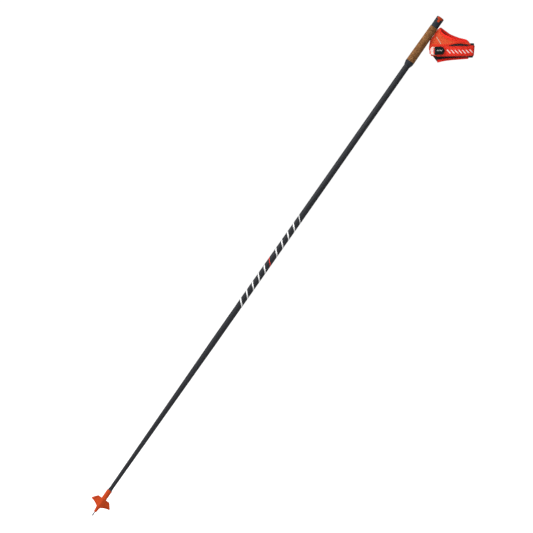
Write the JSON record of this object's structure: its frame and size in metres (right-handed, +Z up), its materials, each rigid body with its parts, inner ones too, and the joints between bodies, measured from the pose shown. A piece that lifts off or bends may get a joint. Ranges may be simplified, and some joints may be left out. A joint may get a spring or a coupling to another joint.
{
  "type": "ski pole",
  "caption": "Cross-country ski pole: tapered carbon shaft, cork grip with moulded head, padded hand strap with hook-and-loop band, swept racing basket and hard-metal tip.",
  "frame": {"origin": "the point of the tip, on the shaft's axis", "axes": "+Z up the shaft to the grip; +X to the back of the grip, where the hand strap hangs; the strap's closure faces -Y"},
  "size_m": [0.1555, 0.0289, 1.55],
  "materials": {
    "carbon": "clear-coated carbon laminate",
    "grip_plastic": "fine matt texture",
    "cork": "sanded cork",
    "basket_plastic": "satin moulded nylon",
    "seal_rubber": "matt",
    "steel": "turned",
    "hard_metal": "ground",
    "wedge_plastic": "satin",
    "web_red": "woven webbing",
    "mesh_red": "open mesh",
    "lining_black": "brushed knit",
    "binding_red": "sewn binding tape",
    "piping_white": "reflective film",
    "band_red": "smooth laminated webbing",
    "ring_plastic": "translucent moulding",
    "loop_black": "loop pile",
    "hook_black": "moulded hooks",
    "tab_rubber": "satin"
  },
  "bodies": {
    "pole": {"shaft": "carbon", "grip_core": "grip_plastic", "cork_sleeve": "cork", "grip_collar": "grip_plastic", "basket": "basket_plastic", "basket_seal": "seal_rubber", "tip_shank": "steel", "carbide_tip": "hard_metal", "web_tail": "web_red"},
    "wedge": {"strap_wedge": "wedge_plastic"},
    "hand_strap": {"strap_web": "web_red", "near_panel": "mesh_red", "far_panel": "mesh_red", "near_lining": "lining_black", "far_lining": "lining_black", "near_top_binding": "binding_red", "far_top_binding": "binding_red", "lower_binding": "binding_red", "reflective_piping": "piping_white", "wrist_band": "band_red", "cuff_pad": "lining_black", "band_fold": "band_red", "band_ring": "ring_plastic", "ring_keeper": "web_red", "loop_patch": "loop_black"},
    "closure": {"band_end": "band_red", "hook_patch": "hook_black", "pull_tab": "tab_rubber"}
  },
  "joints": [
    {"name": "wedge_lift", "type": "slide", "parent": "pole", "child": "wedge", "axis": [0, 0, 1], "range_m": [0, 0.014]},
    {"name": "strap_swing", "type": "hinge", "parent": "pole", "child": "hand_strap", "pos_m": [0.0118, 0, 1.5215], "axis": [0, -1, 0], "range_deg": [0, 60]},
    {"name": "closure_peel", "type": "hinge", "parent": "hand_strap", "child": "closure", "pos_m": [0.03494, -0.00784, 1.47057], "axis": [0.5736, 0, -0.8192], "range_deg": [0, 120]}
  ]
}
